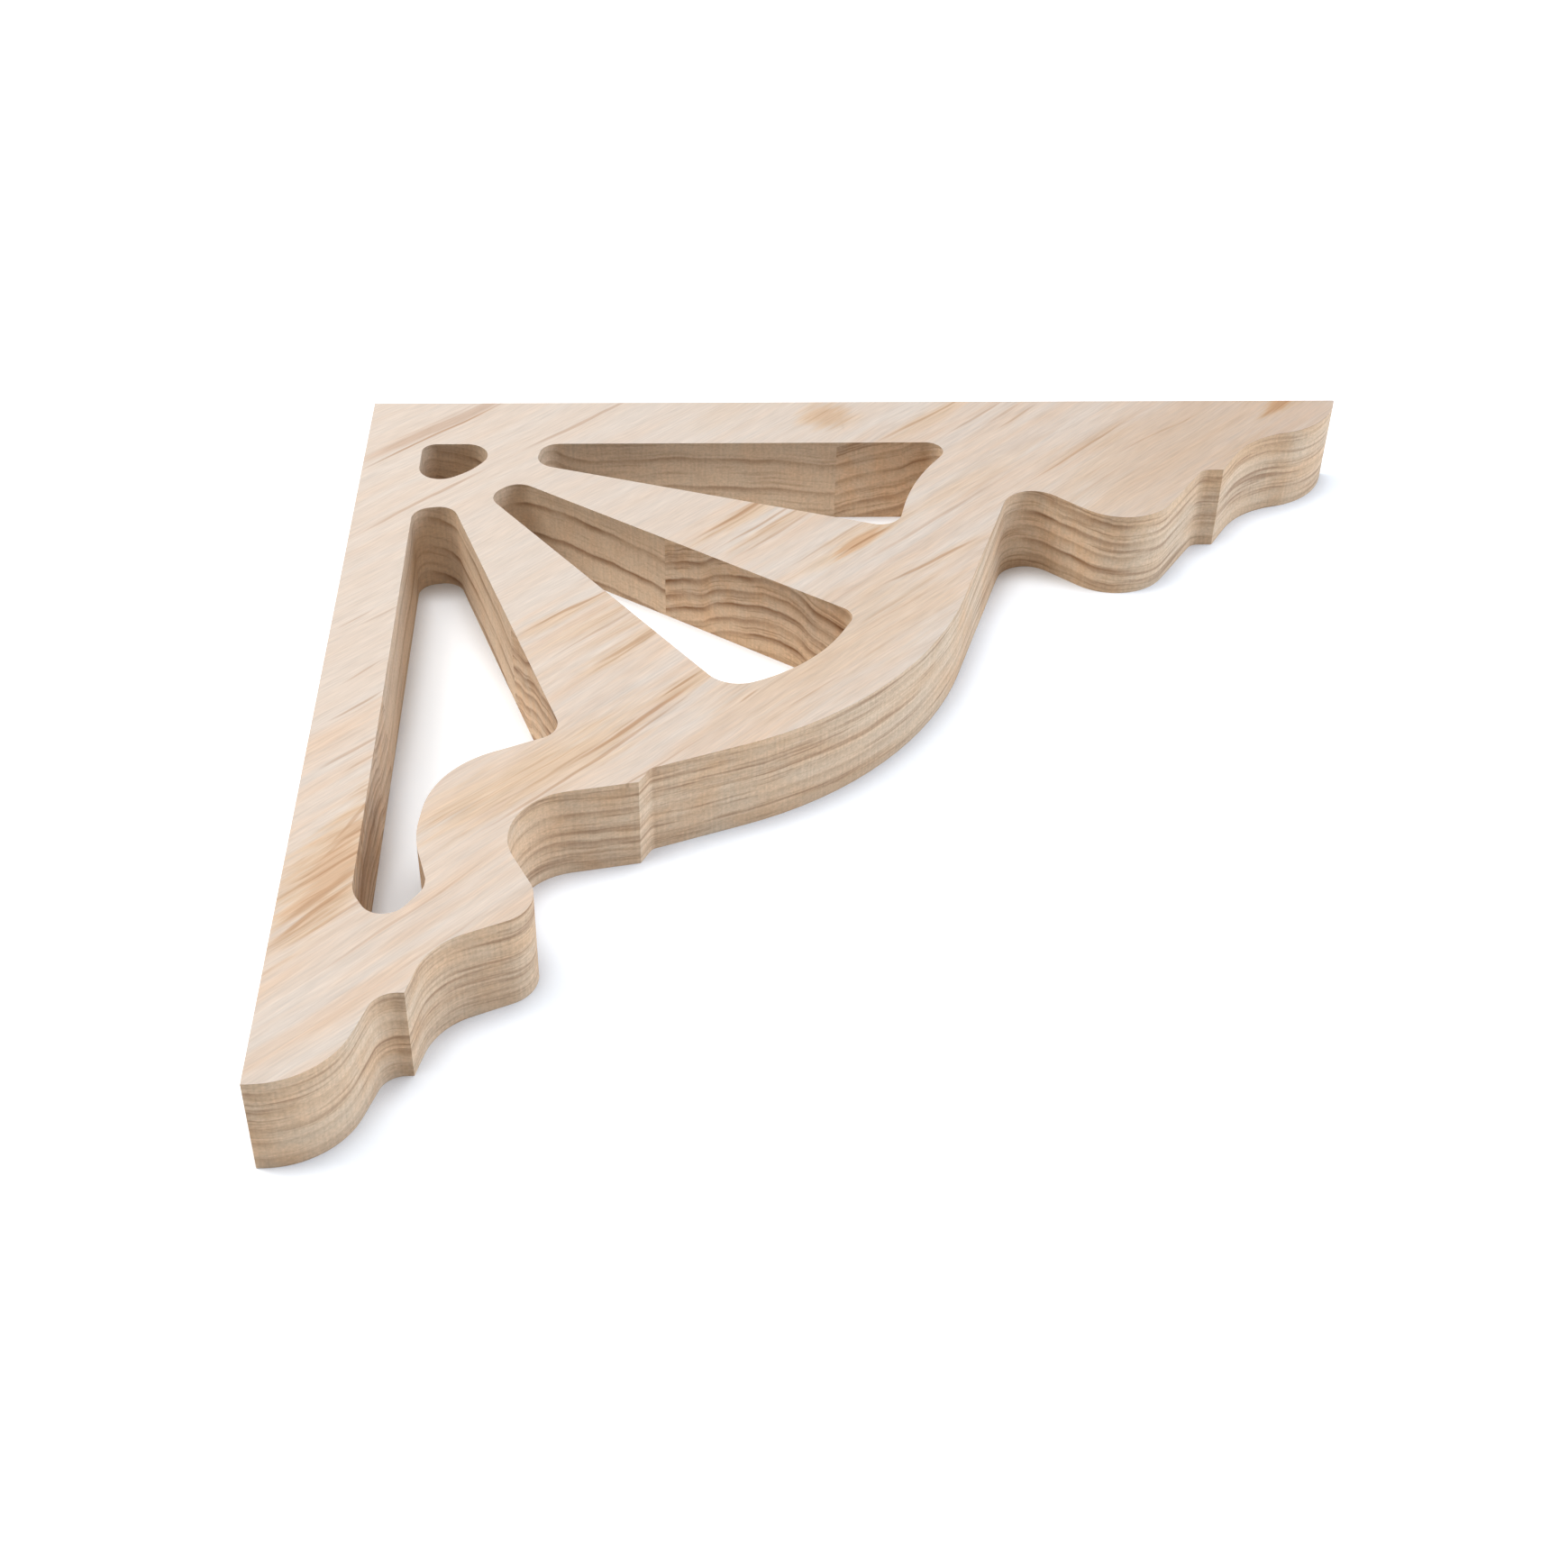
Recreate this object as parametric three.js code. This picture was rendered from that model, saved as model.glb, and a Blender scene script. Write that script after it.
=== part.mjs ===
import * as THREE from 'three';

// A corner bracket sawn and pierced from one slab of pine, lying flat on its broad face.
// Millimetres, +Z up. The arm lies along +X under the beam, the post leg runs down -Y, and
// the square corner is at the back left. "Back" is measured from the arm's tip, "up" from the
// post leg's tip, "down" from the beam edge and "in" from the post edge.

// The slab
const armLength = 360;
const postLength = 342;
const thickness = 32;

// Rails left between the square edges and the slots
const beamRail = 29.4;
const postRail = 20.2;

// Moulding at the arm's tip: ovolo, cove, square step, lobe and hollow
const armOvoloBack = 4.5;
const armOvoloDown = 18.8;
const armOvoloRound = 32;
const armCoveBack = 37.6;
const armCoveDown = 27.3;
const armCoveRound = 35;
const armStepBack = 51.6;
const armStepDown = 49.3;
const armStepRun = 7.7;
const armStepRound = 5.2;
const armLobeBack = 87.7;
const armLobeDown = 91;
const armLobeRound = 20.6;
const armHollowBack = 128;
const armHollowDown = 54.4;
const armHollowRound = 11.3;

// Belly between the two mouldings: how far its corner bows off the straight line between
// them, and how far it slips towards the post
const bellyBow = 45.7;
const bellySlip = 26;
const bellyRound = 128;

// Moulding at the post leg's tip: shoulder, hollow, lobe, cove, square step and ovolo
const postBellyEndIn = 103.1;
const postBellyEndUp = 125.3;
const postBellyEndRound = 3;
const postShoulderIn = 99.7;
const postShoulderUp = 119;
const postHollowBand = 17.4;
const postHollowUp = 110;
const postHollowRound = 20.2;
const postLobeBand = 33.8;
const postLobeUp = 64.2;
const postLobeRound = 11.6;
const postCoveIn = 43.3;
const postCoveUp = 50.2;
const postCoveRound = 21.2;
const postStepIn = 38.5;
const postStepUp = 32.1;
const postStepRun = 7.4;
const postStepRound = 7.5;
const postOvoloIn = 20.3;
const postOvoloRound = 25.4;

// Pierced work, fanned from the inner corner of the two rails. Angles are in degrees.
const hubHoleReach = 31;
const hubHoleBow = 4;
const hubHoleBowRound = 24;
const hubHoleCornerRound = 5;
const hubHoleTipRound = 8;
const hubBand = 12.3;
const slotStartRound = 7;

// Slot under the beam rail
const armSlotAngle = 18.8;
const armSlotTopBack = 146;
const armSlotTopRound = 6.1;
const armSlotWaistBack = 165;
const armSlotWaistDrop = 26.7;
const armSlotWaistRound = 88;
const armSlotFootBack = 172.3;
const armSlotFootRound = 8;

// Slot on the diagonal, with its outer end following the belly
const middleSlotAngle = 18.6;
const middleSlotArmBand = 31.3;
const middleSlotPostBand = 27.7;
const middleSlotBow = 10.2;
const middleSlotBowRound = 58;
const middleSlotArmRound = 6;
const middleSlotPostRound = 12;

// Slot beside the post rail: heel, throat, neck, toe and foot. "Wide" is measured from the rail.
const postSlotAngle = 18.4;
const postSlotHeelUp = 143.3;
const postSlotHeelRound = 7.5;
const postSlotThroatWide = 18.6;
const postSlotThroatUp = 126.5;
const postSlotThroatRound = 32.5;
const postSlotNeckWide = 15.4;
const postSlotNeckUp = 95.3;
const postSlotNeckRound = 40;
const postSlotToeWide = 20.9;
const postSlotToeUp = 74.4;
const postSlotToeRound = 9;
const postSlotFootWide = 9;
const postSlotFootUp = 56.8;
const postSlotFootRound = 7;
const postSlotSideUp = 72.5;
const postSlotSideRound = 14;

// Steps along each rounded corner, and the share of a side that its two corners may fill
const arcSteps = 8;
const fullestSide = 0.98;

const hub = new THREE.Vector2(postRail, -beamRail);
const slotStart = hubHoleReach + hubBand;

function corner(x, y, round = 0) {
  return { at: new THREE.Vector2(x, y), round };
}

function atArmTip(back, down, round) {
  return corner(armLength - back, -down, round);
}

function atPostTip(across, up, round) {
  return corner(across, up - postLength, round);
}

// A direction below the beam, turned from the arm towards the post
function heading(degrees) {
  const angle = THREE.MathUtils.degToRad(degrees);
  return new THREE.Vector2(Math.cos(angle), -Math.sin(angle));
}

function fromHub(degrees, distance, round) {
  const point = heading(degrees).multiplyScalar(distance).add(hub);
  return corner(point.x, point.y, round);
}

// The point that lies on the middle of a side, then out to its left and on towards its end
function bowed(start, end, bow, slip, round) {
  const along = end.at.clone().sub(start.at).normalize();
  const point = start.at.clone().lerp(end.at, 0.5);
  point.addScaledVector(along, slip);
  point.addScaledVector(new THREE.Vector2(-along.y, along.x), bow);
  return corner(point.x, point.y, round);
}

// Where a ray from the hub comes within a band's width of the side from start to end
function rayToBand(degrees, start, end, band, round) {
  const ray = heading(degrees);
  const along = end.at.clone().sub(start.at).normalize();
  const edge = start.at.clone().add(new THREE.Vector2(along.y, -along.x).multiplyScalar(band));
  const distance = edge.sub(hub).cross(along) / ray.cross(along);
  return fromHub(degrees, distance, round);
}

// Traces a closed loop of straight sides, each corner rounded to its own radius. Where two
// corners would fill more than their side, both are made smaller to fit it.
function traceLoop(path, corners) {
  const count = corners.length;
  const sides = corners.map(({ at }, i) => corners[(i + 1) % count].at.clone().sub(at));
  const halves = corners.map((_, i) => {
    const before = sides[(i + count - 1) % count].clone().negate();
    return before.angleTo(sides[i]) / 2;
  });
  const reaches = corners.map(({ round }, i) => round / Math.tan(halves[i]));
  const fits = sides.map((side, i) => {
    const wanted = reaches[i] + reaches[(i + 1) % count];
    return wanted > 0 ? Math.min(1, fullestSide * side.length() / wanted) : 1;
  });
  corners.forEach(({ at, round }, i) => {
    const before = sides[(i + count - 1) % count];
    const after = sides[i];
    const fit = Math.min(fits[(i + count - 1) % count], fits[i]);
    if (round === 0) {
      if (i === 0) path.moveTo(at.x, at.y);
      else path.lineTo(at.x, at.y);
      return;
    }
    const turn = Math.sign(before.cross(after));
    const radius = round * fit;
    const start = at.clone().addScaledVector(before.clone().normalize(), -reaches[i] * fit);
    const end = at.clone().addScaledVector(after.clone().normalize(), reaches[i] * fit);
    const inward = new THREE.Vector2(-before.y, before.x).normalize().multiplyScalar(turn * radius);
    const centre = start.clone().add(inward);
    const from = start.clone().sub(centre).angle();
    const to = end.clone().sub(centre).angle();
    if (i === 0) path.moveTo(start.x, start.y);
    path.absarc(centre.x, centre.y, radius, from, to, turn < 0);
  });
  path.closePath();
  return path;
}

const armHollow = atArmTip(armHollowBack, armHollowDown, armHollowRound);
const postBellyEnd = atPostTip(postBellyEndIn, postBellyEndUp, postBellyEndRound);
const belly = bowed(armHollow, postBellyEnd, bellyBow, bellySlip, bellyRound);
const postNeckIn = postRail + postSlotNeckWide;
const postToeIn = postRail + postSlotToeWide;

function outline() {
  return [
    corner(0, 0),
    corner(0, -postLength),
    atPostTip(postOvoloIn, 0, postOvoloRound),
    atPostTip(postStepIn - postStepRun, postStepUp, postStepRound),
    atPostTip(postStepIn, postStepUp),
    atPostTip(postCoveIn, postCoveUp, postCoveRound),
    atPostTip(postToeIn + postLobeBand, postLobeUp, postLobeRound),
    atPostTip(postNeckIn + postHollowBand, postHollowUp, postHollowRound),
    atPostTip(postShoulderIn, postShoulderUp),
    postBellyEnd,
    belly,
    armHollow,
    atArmTip(armLobeBack, armLobeDown, armLobeRound),
    atArmTip(armStepBack + armStepRun, armStepDown, armStepRound),
    atArmTip(armStepBack, armStepDown),
    atArmTip(armCoveBack, armCoveDown, armCoveRound),
    atArmTip(armOvoloBack, armOvoloDown, armOvoloRound),
    corner(armLength, 0),
  ];
}

function hubHole() {
  const armSide = fromHub(0, hubHoleReach, hubHoleTipRound);
  const postSide = fromHub(90, hubHoleReach, hubHoleTipRound);
  return [
    corner(hub.x, hub.y, hubHoleCornerRound),
    armSide,
    bowed(armSide, postSide, hubHoleBow, 0, hubHoleBowRound),
    postSide,
  ];
}

function armSlot() {
  const footReach = armLength - armSlotFootBack - hub.x;
  return [
    fromHub(0, slotStart, slotStartRound),
    atArmTip(armSlotTopBack, beamRail, armSlotTopRound),
    atArmTip(armSlotWaistBack, beamRail + armSlotWaistDrop, armSlotWaistRound),
    fromHub(armSlotAngle, footReach / heading(armSlotAngle).x, armSlotFootRound),
    fromHub(armSlotAngle, slotStart, slotStartRound),
  ];
}

function middleSlot() {
  const armSide = 45 - middleSlotAngle / 2;
  const postSide = 45 + middleSlotAngle / 2;
  const armEnd = rayToBand(armSide, armHollow, belly, middleSlotArmBand, middleSlotArmRound);
  const postEnd = rayToBand(postSide, belly, postBellyEnd, middleSlotPostBand, middleSlotPostRound);
  return [
    fromHub(armSide, slotStart, slotStartRound),
    armEnd,
    bowed(armEnd, postEnd, middleSlotBow, 0, middleSlotBowRound),
    postEnd,
    fromHub(postSide, slotStart, slotStartRound),
  ];
}

function postSlot() {
  const inner = 90 - postSlotAngle;
  const heelReach = postLength - postSlotHeelUp + hub.y;
  return [
    fromHub(90, slotStart, slotStartRound),
    fromHub(inner, slotStart, slotStartRound),
    fromHub(inner, -heelReach / heading(inner).y, postSlotHeelRound),
    atPostTip(postRail + postSlotThroatWide, postSlotThroatUp, postSlotThroatRound),
    atPostTip(postNeckIn, postSlotNeckUp, postSlotNeckRound),
    atPostTip(postToeIn, postSlotToeUp, postSlotToeRound),
    atPostTip(postRail + postSlotFootWide, postSlotFootUp, postSlotFootRound),
    atPostTip(postRail, postSlotSideUp, postSlotSideRound),
  ];
}

function bracket() {
  const face = traceLoop(new THREE.Shape(), outline());
  for (const loop of [hubHole(), armSlot(), middleSlot(), postSlot()]) {
    face.holes.push(traceLoop(new THREE.Path(), loop));
  }
  const geometry = new THREE.ExtrudeGeometry(face, {
    depth: thickness,
    bevelEnabled: false,
    curveSegments: arcSteps,
  });
  const pine = new THREE.MeshStandardMaterial({ color: 0xdfcdb8, roughness: 0.78, metalness: 0 });
  const mesh = new THREE.Mesh(geometry, pine);
  mesh.name = 'bracket';
  mesh.position.set(-armLength / 2, postLength / 2, 0);
  return mesh;
}

const fretwork = new THREE.Group();
fretwork.add(bracket());

export default fretwork;
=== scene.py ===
import math

import bpy
from mathutils import Euler, Matrix, Vector


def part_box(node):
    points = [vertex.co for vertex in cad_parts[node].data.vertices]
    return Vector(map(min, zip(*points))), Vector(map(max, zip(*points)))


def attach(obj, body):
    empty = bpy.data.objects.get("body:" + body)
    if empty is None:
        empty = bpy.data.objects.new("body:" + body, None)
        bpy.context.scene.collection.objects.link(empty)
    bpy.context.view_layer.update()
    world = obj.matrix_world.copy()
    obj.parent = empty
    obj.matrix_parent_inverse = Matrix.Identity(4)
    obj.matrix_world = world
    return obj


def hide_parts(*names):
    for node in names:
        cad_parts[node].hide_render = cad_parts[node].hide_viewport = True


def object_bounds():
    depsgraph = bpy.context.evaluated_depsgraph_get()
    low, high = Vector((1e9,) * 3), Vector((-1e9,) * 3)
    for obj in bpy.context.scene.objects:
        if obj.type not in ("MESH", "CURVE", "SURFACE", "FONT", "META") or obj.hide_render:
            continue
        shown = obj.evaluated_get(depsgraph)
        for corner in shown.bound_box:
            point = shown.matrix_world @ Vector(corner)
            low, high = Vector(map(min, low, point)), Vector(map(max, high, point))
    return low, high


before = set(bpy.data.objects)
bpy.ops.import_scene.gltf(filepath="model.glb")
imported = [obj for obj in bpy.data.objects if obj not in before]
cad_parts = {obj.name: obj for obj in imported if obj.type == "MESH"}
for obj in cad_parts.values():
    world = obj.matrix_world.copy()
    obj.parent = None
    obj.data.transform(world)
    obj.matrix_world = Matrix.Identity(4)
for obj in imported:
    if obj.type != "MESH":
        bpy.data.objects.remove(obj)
cad_low, cad_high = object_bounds()

bl_info = {
    "name": "Fretwork corner bracket",
    "version": (1, 0, 0),
    "blender": (4, 5, 0),
    "location": "View3D > Sidebar > Bracket",
    "description": "Dresses a sawn pine corner bracket and sets it on a plain floor",
    "category": "Object",
}

MM = 0.001
FLOOR_SIZE = 12

# Corners sharper than the first angle get an arris, and those under the second are shaded smooth
ARRIS_ANGLE = math.radians(30)
SMOOTH_ANGLE = math.radians(40)

# The slab is glued from two boards whose grain runs on the diagonal. "Across" is the distance
# from the square corner at right angles to the grain, and "along" is the distance on from the
# diagonal that leaves that corner, towards the arm. Both are in millimetres here.
GLUE_LINE_ACROSS = 141
FIGURE_REACH = 264
FIGURE_HEIGHT = 70

# How far the grain wanders and shivers from side to side, and how far the rings ripple up
# and down, each in millimetres over the full range of its noise
WANDER = 6
SHIVER = 1.8
RIPPLE = 2.8

# Dark late wood of each growth ring: its depth under the top face beside the glue line, and how
# dark it grew
CORNER_BOARD_RINGS = ((8, 0.8), (20, 0.9), (31, 0.8), (43, 0.7), (55, 0.6))
OUTER_BOARD_RINGS = (
    (3.6, 0.6), (6.4, 0.45), (10.4, 0.85), (17.6, 0.9), (23.6, 0.75),
    (29, 0.95), (35, 0.7), (41, 0.9), (47.5, 0.7),
)

# How far the rings rise across each board. Where one rises by its own depth it meets the top
# face, so a gentle slope spreads it into a broad streak and the crest into a patch.
CORNER_BOARD_RISE = ((0, 31), (31, 20), (64, 8), (78, 0.5), (98, 1.6), (141, -1.5))
OUTER_BOARD_RISE = (
    (141, 0.5), (148, 3.6), (156, 6.4), (162, 10.4), (172, 14), (186, 17.2),
    (194, 16), (201, 12), (208, 10.2), (216, 8.6), (240, 7.2), (264, 5.2),
)

# Marks in the top face that the rings alone don't give: place across and along the grain, half
# the width and half the length, turn in degrees towards the corner, and strength. The widest
# dark row is painted shade that darkens the top of the arm's end, and the next widest is a
# faint darker patch round a knot; neither of the two is a line.
RESIN_PATCHES = (
    (190.5, 51, 5.5, 21, 0, 0.85),
    (189, 50, 8, 34, 0, 0.42),
    (192, 108, 7, 40, 0, 0.2),
    (193, -180, 15, 42, 26, 0.7),
    (202, -110, 13, 55, -2, 0.48),
    (204, -190, 6, 30, 8, 0.55),
    (205, -48, 5, 28, 0, 0.45),
    (178, -45, 4, 28, 0, 0.45),
    (241, 232, 6, 16, 0, 0.95),
    (126, 105, 13, 13, 0, 0.55),
    (232, 170, 34, 85, 0, 0.25),
    (97, 85, 10, 34, 0, 0.12),
    (224, 0, 22, 80, 0, 0.28),
    (150, -45, 4, 34, -3, 0.4),
    (161, -42, 5, 34, 0, 0.35),
    (169, -42, 3, 26, 0, 0.25),
    (150, 38, 5, 36, 0, 0.45),
    (163, 40, 4, 34, 0, 0.38),
    (153, 128, 4, 30, 0, 0.38),
    (207, 158, 3, 44, 0, 0.25),
    (216, 60, 4, 32, -6, 0.25),
)
DARK_STREAKS_AND_PAINTED_SHADE = (
    # Painted shade that darkens the top of the arm's end
    (238, 205, 42, 95, 0, 0.18),
    (29.5, 0, 3.4, 48, -1, 0.42),
    (33, -4, 0.8, 40, 1, 0.65),
    (26, 0, 0.6, 30, 0, 0.25),
    (64.5, -36, 1.1, 34, 1, 0.42),
    (64.8, 38, 1.1, 34, -3, 0.42),
    (130, 108, 1.2, 13, 50, 0.18),
    (103.5, -99, 0.5, 9, 0, 0.35),
    (107.5, -92, 0.5, 10, 0, 0.3),
    (127, -115, 0.5, 10, 5, 0.4),
    (139.5, -128, 0.7, 12, 0, 0.45),
    (148.6, -46, 0.9, 26, -3, 0.55),
    (148, 40, 1.2, 34, 1, 0.7),
    (152.3, 130, 0.8, 32, -2, 0.5),
    (156.5, -143, 0.8, 15, 0, 0.42),
    (158, 36, 0.7, 24, 0, 0.5),
    (161, 42, 0.7, 16, 0, 0.45),
    (163, -143, 0.6, 10, 0, 0.35),
    (165, -45, 0.6, 28, 0, 0.35),
    (166, 36, 0.7, 28, 1, 0.4),
    (164.5, 144, 0.8, 22, 0, 0.4),
    (171, 152, 0.8, 16, 0, 0.3),
    (176, 155, 0.8, 14, 0, 0.4),
    (177.8, -46, 1, 20, -2, 0.5),
    (180, -160, 0.8, 18, 20, 0.45),
    (183, 44, 0.6, 28, 0, 0.35),
    (186, -170, 0.6, 14, 10, 0.4),
    (193, -176, 0.7, 20, -1, 0.6),
    (200, -190, 1.6, 20, 8, 0.5),
    (204, -195, 1.1, 20, 6, 0.6),
    (126, 106, 12, 13, 0, 0.16),
    (199.7, 78, 0.8, 50, 0, 0.3),
    (203.3, -50, 0.7, 12, 0, 0.65),
    (206.5, -74, 1, 36, 1, 0.7),
    (210.5, -95, 0.8, 55, 2.5, 0.5),
    (207.7, 152, 0.8, 38, 0, 0.5),
    (210, -190, 0.8, 22, 0, 0.4),
    (215.5, 58, 0.9, 26, -6, 0.6),
    (220.5, 182, 0.6, 34, -4, 0.4),
    (222.5, -40, 0.5, 6, 0, 0.5),
    (223, -180, 0.6, 40, 1, 0.3),
    (225.5, 142, 0.5, 18, 0, 0.3),
    (226, -85, 0.6, 26, 0, 0.4),
    (236, -24, 0.6, 16, 0, 0.35),
    (238, -190, 0.6, 42, 0, 0.2),
)


def linear(hex_colour):
    """Turns an sRGB hex colour into the linear values that shaders take."""
    values = []
    for start in (1, 3, 5):
        share = int(hex_colour[start:start + 2], 16) / 255
        values.append(share / 12.92 if share <= 0.04045 else ((share + 0.055) / 1.055) ** 2.4)
    return (*values, 1.0)


def add_node(tree, kind, inputs=None, **settings):
    """Adds a node, gives it its settings, and links or fills its inputs."""
    node = tree.nodes.new(kind)
    for name, value in settings.items():
        setattr(node, name, value)
    for socket, value in (inputs or {}).items():
        if isinstance(value, bpy.types.NodeSocket):
            tree.links.new(value, node.inputs[socket])
        else:
            node.inputs[socket].default_value = value
    return node


class BracketFinish(bpy.types.PropertyGroup):
    """Sizes and colours of the bracket's finish"""

    arris: bpy.props.FloatProperty(
        name="Arris",
        description="Width of the rounding that sanding leaves along every edge",
        default=0.7 * MM,
        min=0.1 * MM,
        max=3 * MM,
        precision=4,
        unit="LENGTH",
    )
    arris_steps: bpy.props.IntProperty(
        name="Arris steps",
        description="Facets across the rounding of an edge",
        default=3,
        min=1,
        max=8,
    )
    early_wood: bpy.props.FloatVectorProperty(
        name="Early wood",
        description="Pale wood between the dark lines of the rings",
        subtype="COLOR",
        size=4,
        min=0,
        max=1,
        default=linear("#DACBBC"),
    )
    late_wood: bpy.props.FloatVectorProperty(
        name="Late wood",
        description="Dark line that closes each growth ring",
        subtype="COLOR",
        size=4,
        min=0,
        max=1,
        default=linear("#835F42"),
    )
    face_line: bpy.props.FloatVectorProperty(
        name="Line on the face",
        description="Colour of a ring where it meets the broad face at a slant",
        subtype="COLOR",
        size=4,
        min=0,
        max=1,
        default=linear("#AE8059"),
    )
    warm_wood: bpy.props.FloatVectorProperty(
        name="Warm wood",
        description="Pinker shade of the early wood, in broad bands",
        subtype="COLOR",
        size=4,
        min=0,
        max=1,
        default=linear("#DDC3AB"),
    )
    light_resin: bpy.props.FloatVectorProperty(
        name="Light resin",
        description="Peach shade of wood with a little resin in it",
        subtype="COLOR",
        size=4,
        min=0,
        max=1,
        default=linear("#DABFA3"),
    )
    rich_resin: bpy.props.FloatVectorProperty(
        name="Rich resin",
        description="Orange shade at the middle of a resin streak",
        subtype="COLOR",
        size=4,
        min=0,
        max=1,
        default=linear("#CB9F78"),
    )
    sawn_tint: bpy.props.FloatVectorProperty(
        name="Sawn edge tint",
        description="Darker, yellower shade that cut fibres give to the sawn edges",
        subtype="COLOR",
        size=4,
        min=0,
        max=1,
        default=linear("#F3E8D6"),
    )


class StageSetup(bpy.types.PropertyGroup):
    """Camera, floor and lights"""

    camera_place: bpy.props.FloatVectorProperty(
        name="Camera place",
        description="Where the camera stands",
        subtype="TRANSLATION",
        unit="LENGTH",
        size=3,
        default=(-0.0667, -0.5653, 0.4531),
    )
    camera_tilt: bpy.props.FloatProperty(
        name="Camera tilt",
        description="How far the camera looks down below the horizon",
        subtype="ANGLE",
        default=math.radians(39.41),
    )
    camera_turn: bpy.props.FloatProperty(
        name="Camera turn",
        description="How far the camera is turned towards the arm's tip",
        subtype="ANGLE",
        default=math.radians(3.29),
    )
    camera_roll: bpy.props.FloatProperty(
        name="Camera roll",
        description="How far the camera is rolled about its line of sight",
        subtype="ANGLE",
        default=math.radians(1.47),
    )
    lens: bpy.props.FloatProperty(
        name="Lens",
        description="Focal length on a sensor 36 mm wide",
        default=51.39,
        min=10,
        max=300,
        subtype="DISTANCE_CAMERA",
    )
    floor_colour: bpy.props.FloatVectorProperty(
        name="Floor",
        description="Colour of the plain floor",
        subtype="COLOR",
        size=4,
        min=0,
        max=1,
        default=linear("#E6E6E6"),
    )
    # Strength of the floor's painted glow, which stands in for light and keeps shadows on it pale
    floor_glow: bpy.props.FloatProperty(
        name="Floor glow",
        description="How brightly the floor is lit from beneath",
        default=0.61,
        min=0,
        max=2,
    )
    surround: bpy.props.FloatProperty(
        name="Surround",
        description="Brightness of the white surround",
        default=0.02,
        min=0,
        max=5,
    )
    top_light: bpy.props.FloatProperty(
        name="Top light",
        description="Power of the wide light overhead",
        default=7.3,
        min=0,
        unit="POWER",
    )
    key_light: bpy.props.FloatProperty(
        name="Key light",
        description="Power of the light high at the back left",
        default=16.8,
        min=0,
        unit="POWER",
    )
    left_light: bpy.props.FloatProperty(
        name="Left light",
        description="Power of the low light at the left",
        default=1.8,
        min=0,
        unit="POWER",
    )
    right_light: bpy.props.FloatProperty(
        name="Right light",
        description="Power of the wide light at the right",
        default=39,
        min=0,
        unit="POWER",
    )
    front_light: bpy.props.FloatProperty(
        name="Front light",
        description="Power of the weak low light in front",
        default=1.4,
        min=0,
        unit="POWER",
    )
    front_colour: bpy.props.FloatVectorProperty(
        name="Front light colour",
        description="Colour of the weak light in front, a little warmer than the others",
        subtype="COLOR",
        size=3,
        min=0,
        max=1,
        default=linear("#FFEBD6")[:3],
    )
    right_colour: bpy.props.FloatVectorProperty(
        name="Right light colour",
        description="Colour of the wide light at the right, a little cooler than the others",
        subtype="COLOR",
        size=3,
        min=0,
        max=1,
        default=linear("#D5E7FF")[:3],
    )


def grained_noise(tree, place, sizes_mm, detail=2.0, start=(0, 0, 0)):
    """Noise whose blots have the given size on each axis of the place that it reads."""
    scaled = add_node(
        tree,
        "ShaderNodeMapping",
        {"Vector": place, "Location": start, "Scale": [1 / (size * MM) for size in sizes_mm]},
    )
    noise = add_node(
        tree,
        "ShaderNodeTexNoise",
        {"Vector": scaled.outputs[0], "Scale": 1.0, "Detail": detail, "Roughness": 0.55},
    )
    return noise.outputs[0]


def rise_across(tree, across, points):
    """Height in millimetres that a board's rings have risen by, read from its points."""
    share = add_node(
        tree, "ShaderNodeMath", {0: across, 1: FIGURE_REACH * MM}, operation="DIVIDE"
    )
    curve = add_node(tree, "ShaderNodeFloatCurve", {"Value": share.outputs[0]})
    line = curve.mapping.curves[0]
    places = [
        (across_mm / FIGURE_REACH, 0.5 + rise / FIGURE_HEIGHT) for across_mm, rise in points
    ]
    line.points[0].location = places[0]
    line.points[-1].location = places[-1]
    for place in places[1:-1]:
        line.points.new(*place)
    curve.mapping.update()
    return add_node(
        tree,
        "ShaderNodeMath",
        {0: curve.outputs[0], 1: FIGURE_HEIGHT, 2: -FIGURE_HEIGHT / 2},
        operation="MULTIPLY_ADD",
    ).outputs[0]


def ring_lines(tree, depth, rings, sharp_mm, fade_mm):
    """Late wood: sharp on the side of each ring that grew last, and fading on the other."""
    before_first = 0.1
    end_of_fade = 0.15
    reach = max(ring for ring, _ in rings) + 6
    share = add_node(tree, "ShaderNodeMath", {0: depth, 1: reach}, operation="DIVIDE")
    ramp = add_node(tree, "ShaderNodeValToRGB", {"Fac": share.outputs[0]})
    stops = ramp.color_ramp.elements
    for ring, dark in rings:
        fading = (ring + fade_mm, dark * end_of_fade)
        for place, strength in ((ring - sharp_mm, 0.0), (ring, dark), fading):
            stops.new(place / reach).color = (strength, strength, strength, 1)
    stops[0].color = (before_first, before_first, before_first, 1)
    stops[-1].color = (0, 0, 0, 1)
    return ramp.outputs["Color"]


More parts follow.
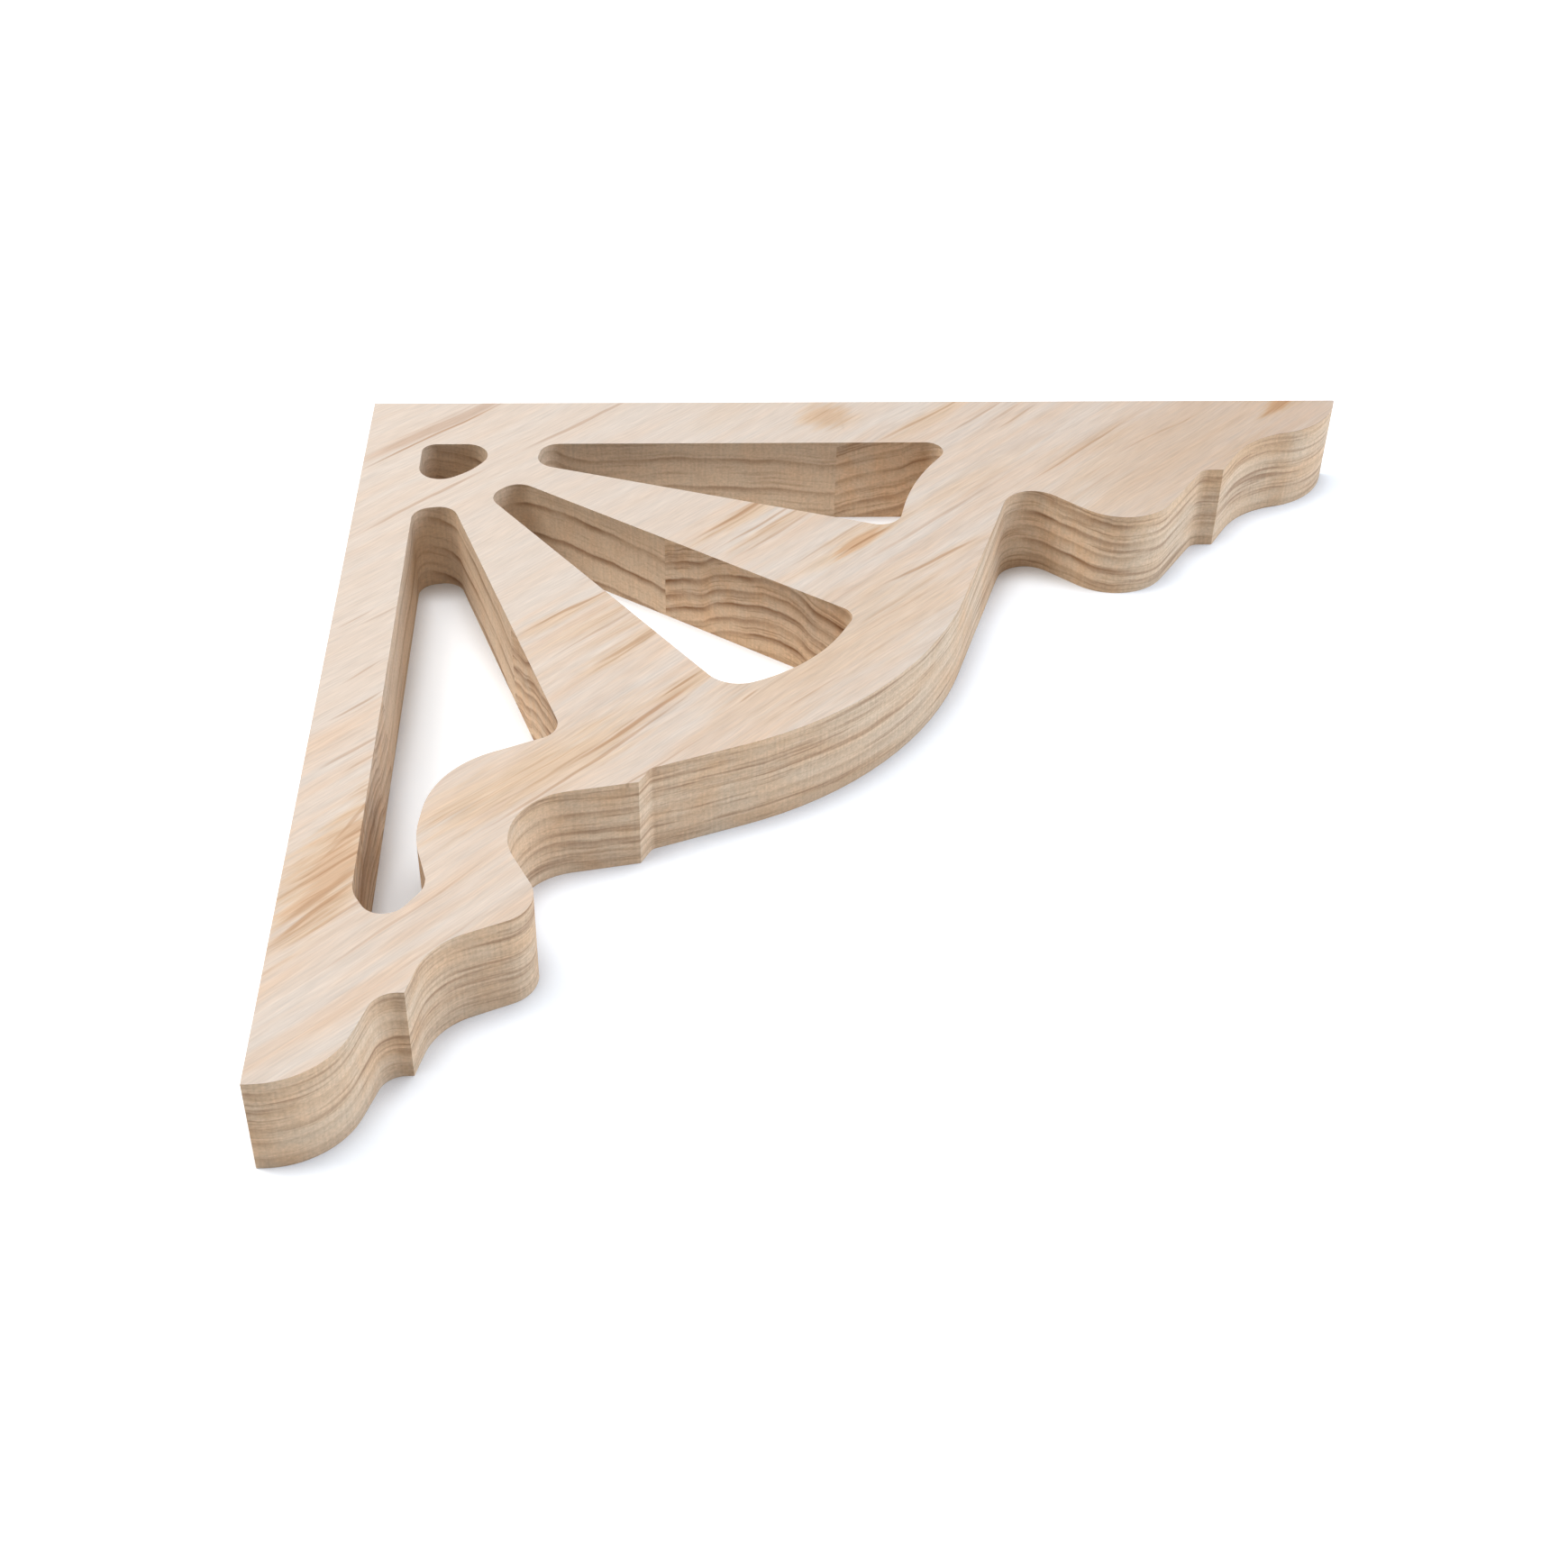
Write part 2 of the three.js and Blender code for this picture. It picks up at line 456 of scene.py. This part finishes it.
def face_marks(tree, grain, marks, half_depth_mm, core, feather):
    """Long soft marks in the top face that taper at both ends and fade downwards."""
    rim = 1.1
    total = 0.0
    for across, along, half_width, half_length, turn, strength in marks:
        centred = add_node(
            tree,
            "ShaderNodeMapping",
            {
                "Vector": grain,
                "Location": (across * MM, along * MM, 0),
                "Rotation": (0, 0, math.radians(turn)),
                "Scale": (half_width * MM, half_length * MM, half_depth_mm * MM),
            },
            vector_type="TEXTURE",
        )
        reach = add_node(
            tree, "ShaderNodeVectorMath", {0: centred.outputs[0]}, operation="LENGTH"
        ).outputs["Value"]
        feathered = add_node(
            tree, "ShaderNodeMath", {0: reach, 1: feather}, operation="ADD"
        ).outputs[0]
        mark = add_node(
            tree,
            "ShaderNodeMapRange",
            {
                "Value": feathered,
                "From Min": core,
                "From Max": rim,
                "To Min": strength,
                "To Max": 0.0,
            },
            interpolation_type="SMOOTHSTEP",
        )
        total = add_node(
            tree, "ShaderNodeMath", {0: total, 1: mark.outputs[0]}, operation="MAXIMUM"
        ).outputs[0]
    return total


def make_pine(finish):
    """Pine boards, glued, sawn and sanded bare.

    The figure is solid: rings run through the slab, so that the lines on the sawn edges meet
    the streaks on the faces at the arris.
    """
    material = bpy.data.materials.new("pine_sawn_and_sanded")
    material.use_nodes = True
    tree = material.node_tree
    tree.nodes.clear()

    place = add_node(tree, "ShaderNodeTexCoord").outputs["Object"]
    low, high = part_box("bracket")
    corner_across = (high.y - low.x) / math.sqrt(2)
    grain = add_node(
        tree,
        "ShaderNodeMapping",
        {
            "Vector": place,
            "Location": (corner_across, 0, -high.z),
            "Rotation": (0, 0, math.radians(45)),
        },
    ).outputs[0]
    straight_across, along, height = add_node(
        tree, "ShaderNodeSeparateXYZ", {0: grain}
    ).outputs

    # The grain wanders slowly from side to side, and shivers by less over shorter stretches
    wander = grained_noise(tree, grain, (60, 80, 120), 1.0)
    shiver = grained_noise(tree, grain, (6, 26, 20), 2.0, (4, 8, 2))
    across = straight_across
    for noise, swing_mm in ((wander, WANDER), (shiver, SHIVER)):
        swing = add_node(
            tree,
            "ShaderNodeMath",
            {0: noise, 1: swing_mm * MM, 2: -swing_mm * MM / 2},
            operation="MULTIPLY_ADD",
        ).outputs[0]
        across = add_node(
            tree, "ShaderNodeMath", {0: across, 1: swing}, operation="ADD"
        ).outputs[0]
    figure = add_node(
        tree, "ShaderNodeCombineXYZ", {0: across, 1: along, 2: height}
    ).outputs[0]

    # Depth under the top face, rippled as rings are, in millimetres
    ripple = grained_noise(tree, grain, (12, 70, 60), 3.0)
    rippled = add_node(
        tree, "ShaderNodeMath", {0: height, 1: -1 / MM, 2: -RIPPLE / 2}, operation="MULTIPLY_ADD"
    )
    rippled = add_node(
        tree,
        "ShaderNodeMath",
        {0: ripple, 1: RIPPLE, 2: rippled.outputs[0]},
        operation="MULTIPLY_ADD",
    ).outputs[0]

    outer_board = add_node(
        tree,
        "ShaderNodeMath",
        {0: straight_across, 1: GLUE_LINE_ACROSS * MM},
        operation="GREATER_THAN",
    ).outputs[0]

    # Which way the surface faces: 1 on the two broad faces, 0 on the sawn edges
    normal = add_node(tree, "ShaderNodeNewGeometry").outputs["Normal"]
    upright = add_node(tree, "ShaderNodeSeparateXYZ", {0: normal}).outputs["Z"]
    upright = add_node(tree, "ShaderNodeMath", {0: upright}, operation="ABSOLUTE").outputs[0]
    on_face = add_node(
        tree, "ShaderNodeMapRange", {"Value": upright, "From Min": 0.5, "From Max": 0.95}
    ).outputs[0]

    # 1 where the cut crosses the fibres and 0 where it runs beside them
    end_grain = add_node(
        tree,
        "ShaderNodeVectorMath",
        {0: normal, 1: (math.sqrt(0.5), math.sqrt(0.5), 0)},
        operation="DOT_PRODUCT",
    ).outputs["Value"]
    end_grain = add_node(
        tree, "ShaderNodeMath", {0: end_grain}, operation="ABSOLUTE"
    ).outputs[0]

    # A ring shows most on end grain. It meets the faces at a slant, where it is narrower and
    # comes and goes along its length.
    fade = add_node(
        tree,
        "ShaderNodeMapRange",
        {
            "Value": grained_noise(tree, grain, (16, 70, 60), 2.0, (3, 1, 8)),
            "From Min": 0.4,
            "From Max": 0.64,
            "To Min": 0.0,
            "To Max": 0.3,
        },
    ).outputs[0]
    uneven = add_node(
        tree,
        "ShaderNodeMapRange",
        {
            "Value": grained_noise(tree, grain, (30, 40, 7), 2.0, (1, 6, 3)),
            "From Min": 0.3,
            "From Max": 0.7,
            "To Min": 0.32,
            "To Max": 0.98,
        },
    ).outputs[0]
    crossed = add_node(
        tree,
        "ShaderNodeMapRange",
        {"Value": end_grain, "From Min": 0.4, "To Min": 0.4, "To Max": 1.25},
    ).outputs[0]
    uneven = add_node(
        tree, "ShaderNodeMath", {0: uneven, 1: crossed}, operation="MULTIPLY"
    ).outputs[0]
    depths = []
    lates = []
    for points, rings in (
        (CORNER_BOARD_RISE, CORNER_BOARD_RINGS),
        (OUTER_BOARD_RISE, OUTER_BOARD_RINGS),
    ):
        rise = rise_across(tree, across, points)
        depth = add_node(tree, "ShaderNodeMath", {0: rippled, 1: rise}, operation="ADD").outputs[0]
        edge_late = add_node(
            tree,
            "ShaderNodeMath",
            {0: ring_lines(tree, depth, rings, sharp_mm=0.8, fade_mm=2.6), 1: uneven},
            operation="MULTIPLY",
        ).outputs[0]
        face_late = add_node(
            tree,
            "ShaderNodeMath",
            {0: ring_lines(tree, depth, rings, sharp_mm=0.25, fade_mm=0.8), 1: fade},
            operation="MULTIPLY",
        ).outputs[0]
        late = add_node(
            tree,
            "ShaderNodeMix",
            {"Factor": on_face, "A": edge_late, "B": face_late},
            data_type="FLOAT",
        ).outputs["Result"]
        depths.append(depth)
        lates.append(late)
    late = add_node(
        tree,
        "ShaderNodeMix",
        {"Factor": outer_board, "A": lates[0], "B": lates[1]},
        data_type="FLOAT",
    ).outputs["Result"]
    ring_depth = add_node(
        tree,
        "ShaderNodeMix",
        {"Factor": outer_board, "A": depths[0], "B": depths[1]},
        data_type="FLOAT",
    ).outputs["Result"]

    # Layers some 1.5 mm thick that lie between the rings and follow them
    layer_depth = add_node(
        tree, "ShaderNodeMath", {0: ring_depth, 1: MM}, operation="MULTIPLY"
    ).outputs[0]
    layered = add_node(
        tree, "ShaderNodeCombineXYZ", {0: across, 1: along, 2: layer_depth}
    ).outputs[0]
    layers = grained_noise(tree, layered, (26, 45, 1.5), 3.0)
    layer_lines = add_node(
        tree,
        "ShaderNodeMapRange",
        {"Value": layers, "From Min": 0.47, "From Max": 0.7, "To Max": 0.65},
    ).outputs[0]
    layer_share = add_node(
        tree, "ShaderNodeMapRange", {"Value": on_face, "To Min": 1.0, "To Max": 0.18}
    ).outputs[0]
    board_share = add_node(
        tree, "ShaderNodeMapRange", {"Value": outer_board, "To Min": 0.5, "To Max": 1.0}
    ).outputs[0]
    for share in (layer_share, board_share):
        layer_lines = add_node(
            tree, "ShaderNodeMath", {0: layer_lines, 1: share}, operation="MULTIPLY"
        ).outputs[0]
    late = add_node(
        tree, "ShaderNodeMath", {0: late, 1: layer_lines}, operation="MAXIMUM"
    ).outputs[0]

    # Broad bands a shade pinker than their neighbours
    tone = add_node(
        tree,
        "ShaderNodeMapRange",
        {
            "Value": grained_noise(tree, figure, (7, 90, 10), 3.0, (5, 2, 1)),
            "From Min": 0.35,
            "From Max": 0.68,
        },
    ).outputs[0]
    tone_swing = add_node(
        tree, "ShaderNodeMapRange", {"Value": outer_board, "To Min": 0.45, "To Max": 1.0}
    ).outputs[0]
    tone = add_node(
        tree, "ShaderNodeMath", {0: tone, 1: tone_swing}, operation="MULTIPLY"
    ).outputs[0]
    wood = add_node(
        tree,
        "ShaderNodeMix",
        {"Factor": tone, "A": tuple(finish.early_wood), "B": tuple(finish.warm_wood)},
        data_type="RGBA",
    ).outputs["Result"]

    ragged = grained_noise(tree, grain, (2.5, 26, 12), 3.0, (2, 9, 4))
    ragged = add_node(
        tree, "ShaderNodeMath", {0: ragged, 1: 1.6, 2: -0.8}, operation="MULTIPLY_ADD"
    ).outputs[0]
    resin = face_marks(
        tree, figure, RESIN_PATCHES, half_depth_mm=12, core=0.2, feather=ragged
    )
    # The lower rings of the outer board are near its heart and carry more resin
    heart = add_node(
        tree,
        "ShaderNodeMapRange",
        {"Value": depths[1], "From Min": 30, "From Max": 48, "To Max": 0.28},
    ).outputs[0]
    arm_half = add_node(
        tree, "ShaderNodeMapRange", {"Value": along, "From Min": -0.07, "From Max": -0.02}
    ).outputs[0]
    for share in (outer_board, arm_half):
        heart = add_node(
            tree, "ShaderNodeMath", {0: heart, 1: share}, operation="MULTIPLY"
        ).outputs[0]
    resin = add_node(tree, "ShaderNodeMath", {0: resin, 1: heart}, operation="MAXIMUM").outputs[0]
    # A little resin makes wood peach, and only more of it makes wood darker
    for shade, least, most in ((finish.light_resin, 0, 0.45), (finish.rich_resin, 0.45, 1)):
        share = add_node(
            tree, "ShaderNodeMapRange", {"Value": resin, "From Min": least, "From Max": most}
        ).outputs[0]
        wood = add_node(
            tree,
            "ShaderNodeMix",
            {"Factor": share, "A": wood, "B": tuple(shade)},
            data_type="RGBA",
        ).outputs["Result"]

    # Resinous wood is drawn with fine dark lines
    drawn = add_node(
        tree,
        "ShaderNodeMapRange",
        {
            "Value": grained_noise(tree, figure, (1.5, 60, 5), 2.0, (6, 1, 2)),
            "From Min": 0.5,
            "From Max": 0.7,
            "To Max": 1.2,
        },
    ).outputs[0]
    drawn = add_node(
        tree, "ShaderNodeMath", {0: drawn, 1: resin}, operation="MULTIPLY"
    ).outputs[0]
    # Dark streaks, and the painted shade over the arm's end, darken the wood towards the line
    # colour
    streaks = face_marks(
        tree, figure, DARK_STREAKS_AND_PAINTED_SHADE, half_depth_mm=3, core=0.4, feather=0.0
    )
    for line in (streaks, drawn):
        late = add_node(
            tree, "ShaderNodeMath", {0: late, 1: line}, operation="MAXIMUM"
        ).outputs[0]
    line_colour = add_node(
        tree,
        "ShaderNodeMix",
        {"Factor": on_face, "A": tuple(finish.late_wood), "B": tuple(finish.face_line)},
        data_type="RGBA",
    ).outputs["Result"]
    wood = add_node(
        tree,
        "ShaderNodeMix",
        {"Factor": late, "A": wood, "B": line_colour},
        data_type="RGBA",
    ).outputs["Result"]

    # Real fibres are some 0.03 mm wide, too fine to show, so the faces have bundles of them
    # 0.6 mm wide. The sawn edges have the cutter's upright marks and the speckle of cut ends.
    fibres = grained_noise(tree, figure, (0.6, 12, 0.6), 3.0)
    marks = grained_noise(tree, place, (0.8, 0.8, 12), 2.0)
    speckle = grained_noise(tree, place, (1.1, 1.1, 0.7), 3.0)
    cut = add_node(
        tree, "ShaderNodeMix", {"Factor": 0.65, "A": marks, "B": speckle}, data_type="FLOAT"
    ).outputs["Result"]
    relief = add_node(
        tree, "ShaderNodeMix", {"Factor": on_face, "A": cut, "B": fibres}, data_type="FLOAT"
    ).outputs["Result"]
    depth_of_tone = add_node(
        tree, "ShaderNodeMapRange", {"Value": on_face, "To Min": 0.85, "To Max": 0.42}
    ).outputs[0]
    shade = add_node(
        tree, "ShaderNodeMath", {0: relief, 1: 0.5}, operation="SUBTRACT"
    ).outputs[0]
    shade = add_node(
        tree,
        "ShaderNodeMath",
        {0: shade, 1: depth_of_tone, 2: 1.0},
        operation="MULTIPLY_ADD",
    ).outputs[0]

    # Strands of fibres some 2 mm wide on the faces, each a little darker or paler than the next
    strand = add_node(
        tree,
        "ShaderNodeMapRange",
        {
            "Value": grained_noise(tree, figure, (2.4, 45, 6), 2.0, (7, 3, 5)),
            "From Min": 0.35,
            "From Max": 0.75,
            "To Min": 0.028,
            "To Max": -0.068,
        },
    ).outputs[0]
    strand = add_node(
        tree, "ShaderNodeMath", {0: strand, 1: board_share}, operation="MULTIPLY"
    ).outputs[0]
    shade = add_node(
        tree,
        "ShaderNodeMath",
        {0: strand, 1: on_face, 2: shade},
        operation="MULTIPLY_ADD",
    ).outputs[0]
    wood = add_node(
        tree, "ShaderNodeVectorMath", {0: wood, "Scale": shade}, operation="SCALE"
    ).outputs["Vector"]

    # Fibres cut across are a shade darker and yellower than those laid flat
    off_face = add_node(
        tree, "ShaderNodeMath", {0: 1.0, 1: on_face}, operation="SUBTRACT"
    ).outputs[0]
    wood = add_node(
        tree,
        "ShaderNodeMix",
        {"Factor": off_face, "A": wood, "B": tuple(finish.sawn_tint)},
        data_type="RGBA",
        blend_type="MULTIPLY",
    ).outputs["Result"]

    bump = add_node(
        tree,
        "ShaderNodeBump",
        {"Height": relief, "Strength": 0.5, "Distance": 0.1 * MM},
    )
    shader = add_node(
        tree,
        "ShaderNodeBsdfPrincipled",
        {
            "Base Color": wood,
            "Normal": bump.outputs[0],
            "Roughness": 0.78,
            "IOR": 1.45,
            "Specular IOR Level": 0.3,
        },
    )
    add_node(tree, "ShaderNodeOutputMaterial", {"Surface": shader.outputs[0]})
    return material


def make_floor_sheet(colour, glow):
    """Matt white acrylic sheet with a painted glow, so that shadows on it stay pale.

    The painted glow grows away from the middle, and the sheet runs out into a white surround.
    The glow is a little blue, and it dims close to the foot of the piece, which paints the
    narrow contact shadow.
    """
    # Reach of the painted contact shadow, and the openness at which it is deepest and at which it
    # ends
    contact_reach = 12.5 * MM
    most_shut = 0.45
    least_open = 0.9
    # The painted glow grows from the middle out to the white surround over these reaches
    plain_reach = 0.7
    white_reach = 2.0
    white_glow = 1.15
    material = bpy.data.materials.new("floor_painted_glow")
    material.use_nodes = True
    tree = material.node_tree
    tree.nodes.clear()
    place = add_node(tree, "ShaderNodeTexCoord").outputs["Object"]
    reach = add_node(
        tree, "ShaderNodeVectorMath", {0: place}, operation="LENGTH"
    ).outputs["Value"]
    # Painted glow, stronger away from the middle
    lit = add_node(
        tree,
        "ShaderNodeMapRange",
        {
            "Value": reach,
            "From Min": plain_reach,
            "From Max": white_reach,
            "To Min": glow,
            "To Max": white_glow,
        },
    ).outputs[0]
    # Painted contact shadow: the glow dims where the piece stands close over the floor
    openness = add_node(
        tree, "ShaderNodeAmbientOcclusion", {"Distance": contact_reach}, samples=6
    ).outputs["AO"]
    openness = add_node(
        tree,
        "ShaderNodeMapRange",
        {"Value": openness, "From Min": most_shut, "From Max": least_open},
    ).outputs[0]
    lit = add_node(
        tree, "ShaderNodeMath", {0: lit, 1: openness}, operation="MULTIPLY"
    ).outputs[0]
    shader = add_node(
        tree,
        "ShaderNodeBsdfPrincipled",
        {
            "Base Color": tuple(colour),
            "Roughness": 1.0,
            "Specular IOR Level": 0.0,
            "Emission Color": (0.9, 0.95, 1, 1),
            "Emission Strength": lit,
        },
    )
    add_node(tree, "ShaderNodeOutputMaterial", {"Surface": shader.outputs[0]})
    return material


def make_surround(strength):
    """White backdrop that the camera sees in full, and that lights the piece only a little."""
    world = bpy.data.worlds.new("white_surround")
    world.use_nodes = True
    tree = world.node_tree
    tree.nodes.clear()
    seen = add_node(tree, "ShaderNodeLightPath").outputs["Is Camera Ray"]
    brightness = add_node(
        tree, "ShaderNodeMapRange", {"Value": seen, "To Min": strength, "To Max": 1.0}
    ).outputs[0]
    backdrop = add_node(
        tree, "ShaderNodeBackground", {"Color": (1, 1, 1, 1), "Strength": brightness}
    )
    add_node(tree, "ShaderNodeOutputWorld", {"Surface": backdrop.outputs[0]})
    return world


class BRACKET_OT_saw(bpy.types.Operator):
    """Copies the bracket's solid, eases its arrises and finishes it in pine"""

    bl_idname = "bracket.saw"
    bl_label = "Saw the bracket"
    bl_options = {"REGISTER", "UNDO"}

    def execute(self, context):
        finish = context.scene.bracket_finish
        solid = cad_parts["bracket"]
        bpy.ops.object.select_all(action="DESELECT")
        piece = bpy.data.objects.new("sawn_bracket", solid.data.copy())
        context.collection.objects.link(piece)
        piece.select_set(True)
        context.view_layer.objects.active = piece

        bpy.ops.object.mode_set(mode="EDIT")
        bpy.ops.mesh.select_all(action="SELECT")
        bpy.ops.mesh.remove_doubles(threshold=0.001 * MM)
        bpy.ops.mesh.dissolve_limited(angle_limit=math.radians(0.5))
        bpy.ops.object.mode_set(mode="OBJECT")

        bevel = piece.modifiers.new("arris", "BEVEL")
        bevel.width = finish.arris
        bevel.segments = finish.arris_steps
        bevel.limit_method = "ANGLE"
        bevel.angle_limit = ARRIS_ANGLE
        bevel.miter_outer = "MITER_ARC"
        bpy.ops.object.modifier_apply(modifier=bevel.name)
        bpy.ops.object.shade_smooth_by_angle(angle=SMOOTH_ANGLE)
        weighted = piece.modifiers.new("flat_faces", "WEIGHTED_NORMAL")
        weighted.keep_sharp = True
        bpy.ops.object.modifier_apply(modifier=weighted.name)

        piece.data.materials.clear()
        piece.data.materials.append(make_pine(finish))
        if not piece.data.polygons:
            raise RuntimeError("the bracket has no faces")
        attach(piece, "root")
        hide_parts("bracket")
        return {"FINISHED"}


class BRACKET_OT_stage(bpy.types.Operator):
    """Lays the floor, hangs the lights and sets up the camera"""

    bl_idname = "bracket.stage"
    bl_label = "Set the stage"
    bl_options = {"REGISTER", "UNDO"}

    def execute(self, context):
        setup = context.scene.bracket_stage
        bpy.ops.object.select_all(action="DESELECT")
        bpy.ops.mesh.primitive_plane_add(size=FLOOR_SIZE, location=(0, 0, cad_low.z))
        floor = context.active_object
        floor.name = "floor"
        floor.data.materials.append(make_floor_sheet(setup.floor_colour, setup.floor_glow))

        context.scene.world = make_surround(setup.surround)
        context.scene.view_settings.view_transform = "Standard"

        # Each light's name, place, size, power and colour
        lights = (
            ("top_light", (0, -0.15, 1.4), 1.5, setup.top_light, (1, 1, 1)),
            ("key_light", (-0.95, 0.15, 1.15), 0.8, setup.key_light, (1, 1, 1)),
            ("left_light", (-0.9, 0.5, 0.5), 0.8, setup.left_light, (1, 1, 1)),
            ("right_light", (1.9, 0, 0.8), 1.4, setup.right_light, setup.right_colour),
            ("front_light", (1, -1.3, 0.55), 1.0, setup.front_light, setup.front_colour),
        )
        for name, place, size, power, colour in lights:
            bpy.ops.object.light_add(type="AREA", location=place)
            light = context.active_object
            light.name = name
            light.rotation_euler = (-Vector(place)).to_track_quat("-Z", "Y").to_euler()
            light.data.size = size
            light.data.energy = power
            light.data.color = colour

        bpy.ops.object.camera_add(location=setup.camera_place)
        camera = context.active_object
        camera.name = "camera"
        level = Euler((math.pi / 2 - setup.camera_tilt, 0, -setup.camera_turn)).to_matrix()
        rolled = level @ Matrix.Rotation(setup.camera_roll, 3, "Z")
        camera.rotation_euler = rolled.to_euler()
        camera.data.sensor_width = 36
        camera.data.lens = setup.lens
        context.scene.camera = camera
        return {"FINISHED"}


class BRACKET_PT_panel(bpy.types.Panel):
    """Lists the bracket's sizes, colours and steps"""

    bl_idname = "BRACKET_PT_panel"
    bl_label = "Corner bracket"
    bl_space_type = "VIEW_3D"
    bl_region_type = "UI"
    bl_category = "Bracket"

    def draw(self, context):
        for settings, operator in (
            (context.scene.bracket_finish, BRACKET_OT_saw),
            (context.scene.bracket_stage, BRACKET_OT_stage),
        ):
            box = self.layout.box()
            for name in settings.__annotations__:
                box.prop(settings, name)
            box.operator(operator.bl_idname)


CLASSES = (
    BracketFinish,
    StageSetup,
    BRACKET_OT_saw,
    BRACKET_OT_stage,
    BRACKET_PT_panel,
)


def register():
    for cls in CLASSES:
        bpy.utils.register_class(cls)
    bpy.types.Scene.bracket_finish = bpy.props.PointerProperty(type=BracketFinish)
    bpy.types.Scene.bracket_stage = bpy.props.PointerProperty(type=StageSetup)


def unregister():
    del bpy.types.Scene.bracket_stage
    del bpy.types.Scene.bracket_finish
    for cls in reversed(CLASSES):
        bpy.utils.unregister_class(cls)


def main():
    register()
    bpy.ops.bracket.saw()
    bpy.ops.bracket.stage()


if __name__ == "__main__":
    main()
